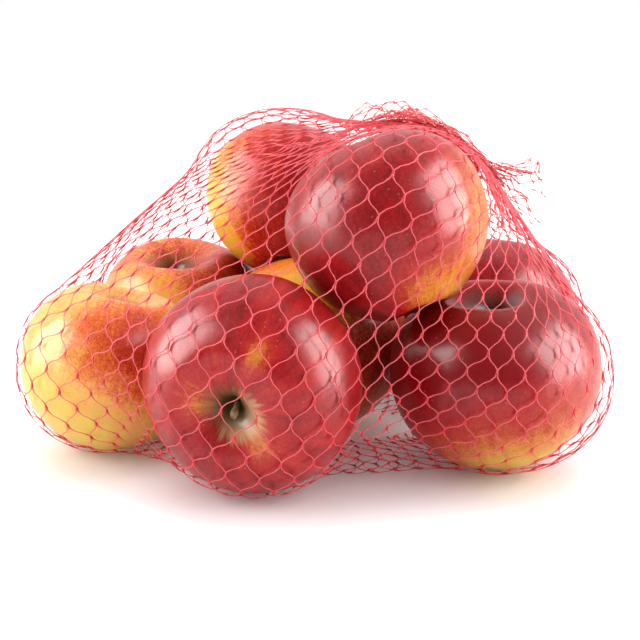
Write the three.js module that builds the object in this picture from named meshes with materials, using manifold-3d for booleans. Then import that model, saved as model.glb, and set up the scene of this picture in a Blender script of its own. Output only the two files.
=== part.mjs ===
// Net of apples: nine apples in a gathered net bag, standing on a table.
// Millimetres, +Z up, +X along the pack, front towards -Y. The origin is the middle of the foot.
import * as THREE from 'three';
import { mergeVertices } from 'three/addons/utils/BufferGeometryUtils.js';
import Module from 'manifold-3d';

// The net
const CELLS_ROUND = 68;          // cells in one ring of the net
const ROWS = 34;                 // half-cell rows from the underside to the gather
const ROW_HEIGHT = 8.2;          // half a cell, where the net hangs freely
const STAND_OFF = 1.6;           // net's outer side above the apple it lies on
const SLACK_STAND_OFF = 6.4;     // over the upper left apple, where the net stands away
const FAR_STAND_OFF = 2.6;       // over the far right apple
const QUILT_DEPTH = 1.5;         // middle of a cell below its strands
const QUILT_SHARE = 0.17;        // the same, as a share of a narrow cell's width
const DRAPE_STEPS = 700;
const CARRY_ON = 0.9;            // share of each step's movement that goes on, so that slack parts settle too
const FINEST = 0.06;             // smaller steps than this are smoothed away where the rope meets the bag
const PULL_ROUND = 0.25;         // how hard the net pulls in along its rings
const PULL_UP = 0.12;            // how hard it pulls in from row to row
const SPRING_OUT = 0.003;        // how far its stiffness bows it out at each step
const FOOT_SPREAD = 3;           // more of that close to the table
const FOOT_REACH = 14;           // height over which the spread dies away
const SLACK_LEFT = 8;            // and more again left of SLACK_FROM, where the net hangs slack
const SLACK_FROM = -39.6;
const SLACK_FADE = 12;

// The flat underside, an oval
const FOOT_X = 0.4;
const FOOT_Y = -2.1;
const FOOT_LONG = 84;            // half length
const FOOT_WIDE = 58;            // half width
const FOOT_TURN = 0.15;          // the foot's rim is turned this far, in radians

// The gathered mouth: a ridge of bunched net from the pinch to the tie
const RIDGE = [
  [6.2, -9.1, 120],
  [21.2, -14.1, 124],
  [36.2, -16.1, 125],
  [51.2, -12.1, 119],
  [63.2, -7.1, 111],
];
const RIDGE_HALF = 4;            // half its width where the net runs in
const RIDGE_CROWD = 0.42;        // below 1 crowds the net towards the tie
const ROPE_R = 4.4;              // radius of the bunched net lying along the ridge
const TIE_R = 3.9;
const PLEATS = 7;
const PLEAT_DEPTH = 0.35;
const TAIL_DROP = -38;           // degrees below level, towards +X
const TAIL_LENGTH = 25;
const TAIL_HALF = 14;            // half width of the tail's fan at its end
const TAIL_THICK = 2.2;          // half thickness there
const TAIL_WAVE = 2;             // how far the fan waves to the front and back
const TAIL_RAGGED = 3.2;         // how uneven its end is

// The apples: centre, greatest radius, height from centre to stem and flower side, stem direction,
// and where the net stands off one side of an apple, how far and which way
const APPLES = [
  { name: 'front', at: [-21.3, -72.6, 40], girth: 39, stem: 30.7, flower: 33, up: [-0.324, -0.945, 0.037] },
  { name: 'left', at: [-78.6, -25.7, 32.6], girth: 34.6, stem: 30.2, flower: 31.7, up: [0.182, 0.028, 0.983],
    loose: 1.5, looseWay: [-1, 0, -0.6] },
  { name: 'farLeft', at: [-58.1, 45.3, 35], girth: 37.2, stem: 32, flower: 34.1, up: [0.141, -0.025, 0.99] },
  { name: 'middle', at: [-0.2, -4.4, 36.1], girth: 37.8, stem: 32.6, flower: 34.7, up: [0.283, 0.182, 0.942] },
  { name: 'right', at: [66.7, -45.9, 34.6], girth: 39.4, stem: 32.5, flower: 33.5, up: [-0.121, -0.217, 0.969],
    loose: 4, looseWay: [1, 0.1, -0.35] },
  { name: 'farRight', at: [73, 33.2, 37.4], girth: 39, stem: 34.1, flower: 36.3, up: [0.202, 0.077, 0.976] },
  { name: 'upperLeft', at: [-12.5, 40.2, 87.5], girth: 34.8, stem: 29.5, flower: 31.2, up: [-0.01, 0.53, 0.848] },
  { name: 'upperRight', at: [27.1, -47.8, 91.3], girth: 37, stem: 31.4, flower: 32.9, up: [-0.491, -0.107, 0.865] },
  { name: 'far', at: [10.1, 70.9, 31.6], girth: 34.1, stem: 28.2, flower: 30.2, up: [-0.189, 0.273, 0.943] },
];
const STEM_FULLNESS = 2.35;      // exponents of the apple's outline, 2 is an ellipse
const FLOWER_FULLNESS = 2.15;
const SHOULDER = 0.05;           // the stem side is this much broader

const AROUND = 2 * CELLS_ROUND;
const LAYERS = ROWS + 1;
const clamp = (v, lo, hi) => Math.min(hi, Math.max(lo, v));
const place = (j, i) => 3 * (j * AROUND + ((i + AROUND) % AROUND));

// Distance from an apple's centre to its skin, along a direction at this cosine from its stem
function skinRadius(apple, cosine) {
  const sine = Math.sqrt(Math.max(0, 1 - cosine * cosine));
  const height = cosine > 0 ? apple.stem : apple.flower;
  const power = cosine > 0 ? STEM_FULLNESS : FLOWER_FULLNESS;
  const out = sine / (apple.girth * (1 + SHOULDER * cosine));
  const up = Math.abs(cosine) / height;
  return (out ** power + up ** power) ** (-1 / power);
}

function standOff(apple) {
  if (apple.name === 'upperLeft') return SLACK_STAND_OFF;
  if (apple.name === 'farRight') return FAR_STAND_OFF;
  return STAND_OFF;
}

// A smooth line through the ridge's points, s from 0 at the pinch to 1 at the tie
const ridgeLine = new THREE.CatmullRomCurve3(
  RIDGE.map((p) => new THREE.Vector3(...p)), false, 'catmullrom', 0.5);

function ridgePoint(s, side) {
  const at = ridgeLine.getPoint(clamp(s, 0, 1));
  const along = ridgeLine.getTangent(clamp(s, 0, 1));
  const across = new THREE.Vector3(0, 0, 1).cross(along).normalize();
  return at.addScaledVector(across, RIDGE_HALF * side);
}

// The net as a grid: row 0 is the rim of the foot, the last row runs into the ridge
function drapeNet() {
  let net = new Float64Array(3 * LAYERS * AROUND);
  const rim = [];
  const mouth = [];
  for (let i = 0; i < AROUND; i++) {
    const turn = (2 * Math.PI * i) / AROUND;
    const c = Math.cos(turn);
    const s = Math.sin(turn);
    const foot = turn + FOOT_TURN;
    rim.push([FOOT_X + FOOT_LONG * Math.cos(foot), FOOT_Y + FOOT_WIDE * Math.sin(foot), 0]);
    mouth.push(ridgePoint((0.5 * (1 + c)) ** RIDGE_CROWD, s).toArray());
  }
  for (let j = 0; j < LAYERS; j++) {
    const u = j / ROWS;
    const lift = (u - 0.5) * Math.PI;
    const top = clamp((u - 0.4) / 0.6, 0, 1);
    const toMouth = top * top * (3 - 2 * top);
    const toRim = (1 - u) ** 2;
    for (let i = 0; i < AROUND; i++) {
      const turn = (2 * Math.PI * i) / AROUND;
      const k = place(j, i);
      net[k] = 128 * Math.cos(lift) * Math.cos(turn) + toMouth * mouth[i][0] + toRim * rim[i][0];
      net[k + 1] = 120 * Math.cos(lift) * Math.sin(turn) + toMouth * mouth[i][1] + toRim * rim[i][1];
      net[k + 2] = Math.max(0, 62 + 75 * Math.sin(lift) + toMouth * (mouth[i][2] + 16 - 137));
    }
  }
  let before = net.slice();
  for (let step = 0; step < DRAPE_STEPS; step++) {
    const next = pullIn(net);
    for (let k = 0; k < net.length; k++) next[k] += CARRY_ON * (net[k] - before[k]);
    if (step % 5 === 4) {
      const slid = next.slice();
      spaceRows(next);
      for (let k = 0; k < net.length; k++) net[k] += next[k] - slid[k];
    }
    for (let i = 0; i < AROUND; i++) {
      next.set(rim[i], place(0, i));
      next.set(mouth[i], place(ROWS, i));
    }
    restOnApples(next);
    before = net;
    net = next;
  }
  return net;
}

function pullIn(net) {
  const next = net.slice();
  const out = [0, 0, 0];
  for (let j = 1; j < ROWS; j++) {
    for (let i = 0; i < AROUND; i++) {
      const k = place(j, i);
      const l = place(j, i - 1);
      const r = place(j, i + 1);
      const d = place(j - 1, i);
      const u = place(j + 1, i);
      outward(net, l, r, d, u, out);
      const low = FOOT_SPREAD * Math.exp(-net[k + 2] / FOOT_REACH);
      const slack = SLACK_LEFT / (1 + Math.exp((net[k] - SLACK_FROM) / SLACK_FADE));
      const push = SPRING_OUT * (1 + low + slack);
      for (let a = 0; a < 3; a++) {
        const round = (net[l + a] + net[r + a]) / 2 - net[k + a];
        const up = (net[d + a] + net[u + a]) / 2 - net[k + a];
        next[k + a] += PULL_ROUND * round + PULL_UP * up + push * out[a];
      }
    }
  }
  return next;
}

// The way out of the bag, from the neighbours to the left, right, below and above
function outward(net, l, r, d, u, out) {
  const ax = net[r] - net[l];
  const ay = net[r + 1] - net[l + 1];
  const az = net[r + 2] - net[l + 2];
  const bx = net[u] - net[d];
  const by = net[u + 1] - net[d + 1];
  const bz = net[u + 2] - net[d + 2];
  out[0] = ay * bz - az * by;
  out[1] = az * bx - ax * bz;
  out[2] = ax * by - ay * bx;
  const size = Math.sqrt(out[0] ** 2 + out[1] ** 2 + out[2] ** 2) + 1e-9;
  for (let a = 0; a < 3; a++) out[a] /= size;
}

function restOnApples(net) {
  for (const apple of APPLES) {
    const [px, py, pz] = apple.at;
    const size = Math.hypot(...apple.up);
    const gap = standOff(apple);
    const loose = apple.loose ?? 0;
    const [wx, wy, wz] = new THREE.Vector3(...(apple.looseWay ?? [0, 0, 1])).normalize().toArray();
    const reach = (apple.girth + gap + loose + 4) ** 2;
    for (let k = 0; k < net.length; k += 3) {
      const dx = net[k] - px;
      const dy = net[k + 1] - py;
      const dz = net[k + 2] - pz;
      const square = dx * dx + dy * dy + dz * dz;
      if (square > reach) continue;
      const far = Math.sqrt(square);
      const cosine = (dx * apple.up[0] + dy * apple.up[1] + dz * apple.up[2]) / size / far;
      const lift = loose * Math.max(0, (dx * wx + dy * wy + dz * wz) / far) ** 2;
      const scale = Math.max(1, (skinRadius(apple, cosine) + gap + lift) / far);
      net[k] = px + dx * scale;
      net[k + 1] = py + dy * scale;
      net[k + 2] = pz + dz * scale;
    }
  }
  for (let k = 2; k < net.length; k += 3) net[k] = Math.max(0, net[k]);
}

// Slide each column's knots towards their share of its length; what is over gathers at the tie
function spaceRows(net) {
  const run = new Float64Array(LAYERS);
  const column = new Float64Array(3 * LAYERS);
  for (let i = 0; i < AROUND; i++) {
    for (let j = 0; j < LAYERS; j++) {
      const k = place(j, i);
      for (let a = 0; a < 3; a++) column[3 * j + a] = net[k + a];
      if (j > 0) {
        const dx = column[3 * j] - column[3 * j - 3];
        const dy = column[3 * j + 1] - column[3 * j - 2];
        const dz = column[3 * j + 2] - column[3 * j - 1];
        run[j] = run[j - 1] + Math.sqrt(dx * dx + dy * dy + dz * dz);
      }
    }
    const whole = run[ROWS];
    const bunch = clamp((ROW_HEIGHT * ROWS) / whole, 1, 1.7);
    let seg = 0;
    for (let j = 1; j < ROWS; j++) {
      const goal = whole * (1 - (1 - j / ROWS) ** bunch);
      const want = (run[j] + goal) / 2;
      while (seg < ROWS - 1 && run[seg + 1] < want) seg++;
      const f = (want - run[seg]) / (run[seg + 1] - run[seg] + 1e-9);
      const k = place(j, i);
      for (let a = 0; a < 3; a++) {
        net[k + a] = column[3 * seg + a] + f * (column[3 * seg + 3 + a] - column[3 * seg + a]);
      }
    }
  }
}

// Strands cross at every second grid point; the points between are cell middles, set in a little
function quilt(net) {
  const out = net.slice();
  const way = [0, 0, 0];
  for (let j = 1; j < ROWS; j++) {
    for (let i = 0; i < AROUND; i++) {
      if ((i + j) % 2 === 0) continue;
      const k = place(j, i);
      const l = place(j, i - 1);
      const r = place(j, i + 1);
      const d = place(j - 1, i);
      const u = place(j + 1, i);
      if (Math.max(net[k + 2], net[l + 2], net[r + 2]) < 0.5) continue;
      const width = Math.hypot(net[r] - net[l], net[r + 1] - net[l + 1], net[r + 2] - net[l + 2]);
      const tall = Math.hypot(net[u] - net[d], net[u + 1] - net[d + 1], net[u + 2] - net[d + 2]);
      const inset = Math.min(QUILT_DEPTH, QUILT_SHARE * Math.min(width, tall));
      outward(net, l, r, d, u, way);
      for (let a = 0; a < 3; a++) out[k + a] -= inset * way[a];
      out[k + 2] = Math.max(0, out[k + 2]);
    }
  }
  return out;
}

function bagSolid(net) {
  const faces = [];
  for (let j = 0; j < ROWS; j++) {
    for (let i = 0; i < AROUND; i++) {
      const a = place(j, i) / 3;
      const b = place(j, i + 1) / 3;
      const c = place(j + 1, i + 1) / 3;
      const d = place(j + 1, i) / 3;
      if ((i + j) % 2 === 0) faces.push(a, b, c, a, c, d);
      else faces.push(a, b, d, b, c, d);
    }
  }
  closeEnd(faces, AROUND, 0, false);
  closeEnd(faces, AROUND, ROWS * AROUND, true);
  return solidOf(net, faces);
}

// An end ring is closed by a strip between the points that face each other across it
function closeEnd(faces, count, first, last) {
  for (let i = 0; i < count / 2; i++) {
    const a = first + i;
    const b = first + i + 1;
    const c = first + ((count - i - 1) % count);
    const d = first + ((count - i) % count);
    const strip = i === 0 ? [[a, b, c]] : i === count / 2 - 1 ? [[a, b, d]] : [[a, b, c], [a, c, d]];
    for (const t of strip) faces.push(...(last ? t : t.reverse()));
  }
}

function solidOf(points, faces) {
  const mesh = new kernel.Mesh({
    numProp: 3,
    vertProperties: Float32Array.from(points),
    triVerts: Uint32Array.from(faces),
  });
  mesh.merge();
  return new kernel.Manifold(mesh);
}

// The bunched net along the ridge, and the fan of cut net beyond the tie
function ropeAndTail() {
  const sides = 28;
  const ropeSteps = 12;
  const tailSteps = 7;
  const points = [];
  const dive = THREE.MathUtils.degToRad(TAIL_DROP);
  const tailDir = new THREE.Vector3(Math.cos(dive), 0, Math.sin(dive));
  const tailAcross = new THREE.Vector3(-Math.sin(dive), 0, Math.cos(dive));
  const tie = ridgeLine.getPoint(1);
  for (let step = 0; step <= ropeSteps + tailSteps; step++) {
    const inTail = step > ropeSteps;
    const s = Math.min(1, step / ropeSteps);
    const t = inTail ? (step - ropeSteps) / tailSteps : 0;
    const along = ridgeLine.getTangent(s);
    const rope = new THREE.Vector3(0, 0, 1).addScaledVector(along, -along.z).normalize();
    const high = rope.lerp(tailAcross, clamp((s - 0.7) / 0.3, 0, 1)).normalize();
    const swell = Math.sin(Math.PI * Math.min(1, 0.22 + 0.9 * s));
    for (let k = 0; k < sides; k++) {
      const turn = (2 * Math.PI * k) / sides;
      const pleat = 1 + (PLEAT_DEPTH / ROPE_R) * Math.cos(PLEATS * turn);
      const v = Math.cos(turn);
      const half = inTail ? TIE_R + (TAIL_HALF - TIE_R) * t ** 0.8 : TIE_R + (ROPE_R - TIE_R) * swell;
      const thick = inTail ? TIE_R + (TAIL_THICK - TIE_R) * t ** 0.6 : half;
      const narrow = step === 0 ? 0.55 : 1;
      const ragged = TAIL_RAGGED * Math.sin(7.3 * v + 0.8) * t * t;
      const wave = TAIL_WAVE * Math.sin(4.1 * v) * t;
      const p = inTail ? tie.clone() : ridgeLine.getPoint(s);
      if (inTail) p.addScaledVector(tailDir, TAIL_LENGTH * t * (1 - 0.18 * v * v * t) + ragged);
      p.addScaledVector(high, half * narrow * v * pleat);
      p.y += thick * narrow * Math.sin(turn) * pleat + wave;
      points.push(...p.toArray());
    }
  }
  const faces = [];
  for (let j = 0; j < ropeSteps + tailSteps; j++) {
    for (let k = 0; k < sides; k++) {
      const a = j * sides + k;
      const b = j * sides + ((k + 1) % sides);
      faces.push(b, a, a + sides, b, a + sides, b + sides);
    }
  }
  closeEnd(faces, sides, 0, true);
  closeEnd(faces, sides, (ropeSteps + tailSteps) * sides, false);
  return solidOf(points, faces);
}

const kernel = await Module();
kernel.setup();
const net = quilt(drapeNet());
const whole = bagSolid(net).add(ropeAndTail()).asOriginal().simplify(FINEST);
const cut = whole.getMesh();
let geometry = new THREE.BufferGeometry();
geometry.setAttribute('position', new THREE.BufferAttribute(Float32Array.from(cut.vertProperties), 3));
geometry.setIndex(Array.from(cut.triVerts));
geometry = mergeVertices(geometry, 1e-3);
geometry.computeBoundingBox();
const box = geometry.boundingBox;
geometry.translate(-(box.min.x + box.max.x) / 2, -(box.min.y + box.max.y) / 2, -box.min.z);
geometry.computeVertexNormals();

const netColour = new THREE.MeshStandardMaterial({ name: 'net', color: '#d8404c', roughness: 0.45, metalness: 0 });
const bag = new THREE.Mesh(geometry, netColour);
bag.name = 'net_bag';

const pack = new THREE.Group();
pack.name = 'net_of_apples';
pack.add(bag);

export default pack;
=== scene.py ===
import math

import bmesh
import bpy
import numpy as np
from mathutils import Matrix, Vector, kdtree


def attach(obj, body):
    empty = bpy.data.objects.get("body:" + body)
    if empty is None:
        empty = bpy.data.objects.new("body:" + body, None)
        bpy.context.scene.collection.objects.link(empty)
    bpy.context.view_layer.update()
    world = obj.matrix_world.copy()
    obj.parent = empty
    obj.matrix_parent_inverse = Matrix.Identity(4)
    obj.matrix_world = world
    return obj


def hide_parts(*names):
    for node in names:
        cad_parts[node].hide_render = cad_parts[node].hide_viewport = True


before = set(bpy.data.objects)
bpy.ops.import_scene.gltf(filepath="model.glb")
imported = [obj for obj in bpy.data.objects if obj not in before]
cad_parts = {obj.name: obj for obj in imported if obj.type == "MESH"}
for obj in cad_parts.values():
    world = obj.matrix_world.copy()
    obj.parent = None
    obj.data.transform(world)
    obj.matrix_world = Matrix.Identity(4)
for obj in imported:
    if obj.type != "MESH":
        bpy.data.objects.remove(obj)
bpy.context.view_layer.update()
mm = 0.001
scene = bpy.context.scene
scene.view_settings.view_transform = "Standard"


# colours and nodes
def paint(hexColour):
    # sRGB hex to linear
    parts = [int(hexColour[k:k + 2], 16) / 255 for k in (1, 3, 5)]
    return [p / 12.92 if p <= 0.04045 else ((p + 0.055) / 1.055) ** 2.4 for p in parts] + [1.0]


def addNode(tree, kind, settings=None, links=None):
    node = tree.nodes.new(kind)
    for key, value in (settings or {}).items():
        if isinstance(key, int) or key in node.inputs:
            node.inputs[key].default_value = value
        else:
            setattr(node, key, value)
    for key, source in (links or {}).items():
        tree.links.new(source, node.inputs[key])
    return node


def newMaterial(name):
    material = bpy.data.materials.new(name)
    material.use_nodes = True
    material.node_tree.nodes.clear()
    return material, material.node_tree


def wear(material, shader):
    # the shader is what the material shows
    addNode(material.node_tree, "ShaderNodeOutputMaterial", None, {"Surface": shader.outputs[0]})
    return material


def addStops(ramp, stops):
    elements = ramp.color_ramp.elements
    while len(elements) < len(stops):
        elements.new(0.5)
    for element, (place, colour) in zip(elements, stops):
        element.position = place
        element.color = colour


# the apples: where each lies, its size in mm, and how it is coloured
appleForm = {
    "profileSteps": 76,
    "spinSteps": 112,
    "stemFullness": 2.35,  # outline exponents, 2 is an ellipse
    "flowerFullness": 2.15,
    "shoulder": 0.05,
    "funnelPower": 1.7,
    "hole": (5.0, 3.4),  # the narrow part the stem stands in
    "stemLip": (1.4, 7),  # height and width
    "flowerDip": (6.5, 7.0),  # depth and reach
    "flowerLip": (1.2, 13, 6),  # height, how far out, and width
    "ribs": 5,
    "ribDepth": 0.028,
    "ribFrom": (0.25, 1.1),  # they fade out above this height and over this much of it
    "knobs": 3,
    "knobDepth": 0.014,
    "lean": 0.012,
}

# girth is the half width, stem and flower the heights above and below the centre, up where the stem points.
# base is how red the skin is, and patches add to it: (azimuth, elevation, spread) in degrees, then how much.
# Azimuth 0 faces the front and 90 the right. The colours run from least to most red.
usualApple = {
    "turn": 0,
    "hollow": (8.5, 9.5, 16),  # depth and reach of the funnel round the stem, and how far out its lip is
    "aside": (0, 0),  # how far the hollow and the stem stand to the side
    "stalk": 11.0,
    "hollowBrownShadeReach": 9.0,  # how far out the hollow is darkened, and its colour: brown skin, darker still towards the stem as painted shade
    "deep": "#4a3818",
    "streaks": 0.22,
    "mottle": 0.18,
    "russet": 0.5,
    "frost": 0.20,
}
apples = {
    "front": {
        "at": (-21.3, -72.6, 40), "girth": 39, "stem": 30.7, "flower": 33,
        "up": (-0.27, -0.955, -0.10), "turn": -80, "base": 0.80, "hollow": (9.0, 12.5, 22), "stalk": 8.5,
        # the hollow's colour: brown skin, darkened as painted shade
        "hollowBrownShadeReach": 12.6, "deep": "#38290f", "russetAside": (3.2, 2.4),
        "patches": [(-12, 60, 26, 0.10), (7, 32, 9, -0.52), (7, -27, 10, -0.46), (-34, -1, 14, -0.50),
                    (45, 0, 35, 0.06), (-40, -32, 25, 0.06)],
        "colours": ["#cc9434", "#c46c28", "#ae301e", "#a81016", "#7c060e"],
        "streaks": 0.38, "mottle": 0.24, "russet": 1.0, "frost": 0.28,
    },
    "left": {
        "at": (-78.6, -25.7, 32.6), "girth": 34.6, "stem": 30.2, "flower": 31.7,
        "up": (0.20, 0.05, 0.98), "turn": 65, "base": 0.16, "hollow": (8.0, 9.5, 17), "stalk": 4.5,
        "patches": [(18, 30, 36, 0.56), (52, 8, 34, 0.38), (-50, 0, 40, -0.12), (0, -50, 40, -0.10),
                    (160, 20, 60, 0.3)],
        "colours": ["#dcc254", "#eaaa54", "#dd6e2c", "#c23a1c", "#901810"],
        "mottle": 0.20, "russet": 0.4,
    },
    "farLeft": {
        "at": (-58.1, 45.3, 35), "girth": 37.2, "stem": 32, "flower": 34.1,
        "up": (0.10, -0.17, 0.97), "base": 0.32, "hollow": (13.0, 12.0, 22), "aside": (-5.5, 0),
        # the hollow's colour: brown skin, darkened as painted shade
        "stalk": 4.0, "hollowBrownShadeReach": 14.5, "deep": "#42160c",
        "patches": [(62, 22, 42, 0.60), (-30, 60, 30, 0.20), (-16, 14, 28, -0.40), (180, 10, 60, 0.4)],
        "colours": ["#e0b850", "#e2983e", "#c4542a", "#9a2018", "#64100c"],
        "russet": 0.3,
    },
    "middle": {
        "at": (-0.2, -4.4, 36.1), "girth": 37.8, "stem": 32.6, "flower": 34.7,
        "up": (0.283, 0.182, 0.942), "turn": 40, "base": 0.48,
        "patches": [(-10, 45, 30, -0.46), (30, 5, 30, 0.26), (-30, -10, 40, 0.24)],
        "colours": ["#e0a814", "#d98420", "#bd4c28", "#922418", "#5a1010"],
        "streaks": 0.24,
    },
    "right": {
        "at": (66.7, -45.9, 34.6), "girth": 39.4, "stem": 34.0, "flower": 33.5,
        "up": (-0.10, -0.09, 0.99), "base": 0.62, "hollow": (9.5, 11.5, 19), "stalk": 5.0,
        # the hollow's colour, near black: brown skin, darkened as painted shade
        "hollowBrownShadeReach": 15.5, "deep": "#1c0603",
        "patches": [(-20, 35, 42, 0.44), (30, 50, 35, 0.24), (75, 5, 40, -0.12), (12, -54, 40, -0.66),
                    (150, 20, 70, 0.2), (-65, 0, 40, 0.30)],
        "colours": ["#ccac34", "#c4782e", "#ae3a1c", "#a40a12", "#7c040e"],
        "mottle": 0.16, "russet": 0.15, "frost": 0.12,
    },
    "farRight": {
        "at": (73, 33.2, 37.4), "girth": 39, "stem": 34.1, "flower": 36.3,
        "up": (0.202, 0.25, 0.95), "turn": 30, "base": 0.76,
        "patches": [(0, 30, 60, 0.16), (90, -30, 40, -0.3), (180, 0, 50, -0.15)],
        "colours": ["#d8a440", "#d67c3c", "#c23a2c", "#a81420", "#720a14"],
        "mottle": 0.16,
    },
    "upperLeft": {
        "at": (-12.5, 40.2, 87.5), "girth": 34.8, "stem": 29.5, "flower": 31.2,
        "up": (-0.01, 0.53, 0.848), "base": 0.82,
        "patches": [(-88, 0, 50, -1.05), (-55, -32, 22, -0.42), (-10, 60, 40, -0.10), (150, 0, 60, -0.25)],
        "colours": ["#eec93a", "#ea9226", "#c83c1c", "#a01412", "#70080c"],
        "streaks": 0.26, "mottle": 0.10,
    },
    "upperRight": {
        "at": (27.1, -47.8, 91.3), "girth": 37, "stem": 31.4, "flower": 32.9,
        "up": (-0.35, 0.30, 0.88), "turn": 15, "base": 0.86,
        "patches": [(80, 12, 40, -0.66), (22, -32, 20, -0.36), (48, -34, 26, -0.44), (-20, 0, 40, 0.10),
                    (0, -75, 30, 0.2), (180, 0, 60, -0.1)],
        "colours": ["#e0aa40", "#d67e32", "#b0401c", "#a60e16", "#76060e"],
        "streaks": 0.28, "mottle": 0.20, "russet": 0.6, "frost": 0.26,
    },
    "far": {
        "at": (10.1, 70.9, 31.6), "girth": 34.1, "stem": 28.2, "flower": 30.2,
        "up": (-0.189, 0.273, 0.943), "turn": 50, "base": 0.48,
        "patches": [(170, 30, 50, 0.4), (220, -20, 40, -0.3)],
        "colours": ["#dcb448", "#df9040", "#c84a28", "#a81a1a", "#6c0c10"],
    },
}
apples = {name: {**usualApple, **apple} for name, apple in apples.items()}


def skinRadius(cosine, girth, stem, flower):
    # from the apple's centre to its skin, at this cosine from its stem
    sine = np.sqrt(np.clip(1 - cosine ** 2, 0, 1))
    height = np.where(cosine > 0, stem, flower)
    power = np.where(cosine > 0, appleForm["stemFullness"], appleForm["flowerFullness"])
    out = sine / (girth * (1 + appleForm["shoulder"] * cosine))
    return (out ** power + (np.abs(cosine) / height) ** power) ** (-1 / power)


def appleTurn(apple):
    # from the apple's own upright pose to how it lies in the net
    lean = Vector((0, 0, 1)).rotation_difference(Vector(apple["up"])).to_matrix().to_4x4()
    spin = Matrix.Rotation(math.radians(apple["turn"]), 4, "Z")
    return Matrix.Translation(Vector(apple["at"])) @ lean @ spin


def placeInPack(bm, apple):
    bmesh.ops.transform(bm, matrix=Matrix.Scale(mm, 4) @ appleTurn(apple), verts=bm.verts[:])


def meshOf(bm, name="made"):
    mesh = bpy.data.meshes.new(name)
    bm.to_mesh(mesh)
    bm.free()
    return mesh


def addPiece(name, mesh, material):
    mesh.name = name
    mesh.materials.append(material)
    for face in mesh.polygons:
        face.use_smooth = True
    piece = bpy.data.objects.new(name, mesh)
    scene.collection.objects.link(piece)
    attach(piece, "root")
    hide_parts("net_bag")
    return piece


def appleHeight(side, reach, form, funnel):
    # how far the hollow and its lip lower or raise the skin, this far from the stem's line
    if side > 0:
        depth, width, lip = funnel
        rise, lipWidth = form["stemLip"]
        hollow = depth * math.exp(-(reach / width) ** form["funnelPower"])
        hollow += form["hole"][0] * math.exp(-(reach / form["hole"][1]) ** 2)
        return rise * math.exp(-((reach - lip) / lipWidth) ** 2) - hollow
    rise, lip, lipWidth = form["flowerLip"]
    hollow = form["flowerDip"][0] * math.exp(-(reach / form["flowerDip"][1]) ** 2)
    return hollow - rise * math.exp(-((reach - lip) / lipWidth) ** 2)


def appleBody(name, apple):
    form = appleForm
    bm = bmesh.new()
    profile = []
    for k in range(form["profileSteps"] + 1):
        angle = math.pi * k / form["profileSteps"]
        skin = float(skinRadius(np.array(math.cos(angle)), apple["girth"], apple["stem"], apple["flower"]))
        reach = skin * math.sin(angle) if 0 < k < form["profileSteps"] else 0
        profile.append(bm.verts.new((reach, 0, skin * math.cos(angle))))
    for a, b in zip(profile, profile[1:]):
        bm.edges.new((a, b))
    bmesh.ops.spin(bm, geom=bm.verts[:] + bm.edges[:], cent=(0, 0, 0), axis=(0, 0, 1),
                   angle=2 * math.pi, steps=form["spinSteps"], use_merge=True)
    bmesh.ops.remove_doubles(bm, verts=bm.verts[:], dist=0.01)
    aside = apple["aside"]
    for vert in bm.verts:
        x, y, z = vert.co
        reach = math.hypot(x - aside[0], y - aside[1]) if z > 0 else math.hypot(x, y)
        vert.co.z += appleHeight(z, reach, form, apple["hollow"])
        azimuth = math.atan2(y, x)
        down = min(1, max(0, (form["ribFrom"][0] - z / apple["flower"]) / form["ribFrom"][1]))
        rib = form["ribDepth"] * 0.5 * (math.cos(form["ribs"] * azimuth) - 1) * down
        up = min(1, max(0, z / apple["stem"]))
        knob = form["knobDepth"] * (math.cos(form["knobs"] * azimuth + apple["turn"]) - 1) * up
        lean = form["lean"] * (math.cos(azimuth - apple["turn"]) - 1)
        vert.co.x *= 1 + rib + knob + lean
        vert.co.y *= 1 + rib + knob + lean
        vert.co.z *= 1 + 0.6 * rib + 1.2 * knob
    bmesh.ops.recalc_face_normals(bm, faces=bm.faces[:])
    own = np.array([vert.co[:] for vert in bm.verts])
    placeInPack(bm, apple)
    piece = addPiece("apple." + name, meshOf(bm), appleSkin(name, apple))
    markSkin(piece.data, own, apple)


skinMarks = {
    "unit": 37,  # mm to one unit of ownPlace
    "down": 0.55,  # units from the stem to the flower: few, so that streaks are long
    "pole": 0.5,
    "russet": 10.5,  # reach in mm round the stem
    "flower": 6.0,
}


def spotRound(own, aside, reach, end):
    # 1 beside the stem's line and fading out over this reach, at the stem's end (1) or the flower's (-1)
    far = np.hypot(own[:, 0] - aside[0], own[:, 1] - aside[1])
    return np.exp(-(far / reach) ** 2) * (own[:, 2] * end > 0)


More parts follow.
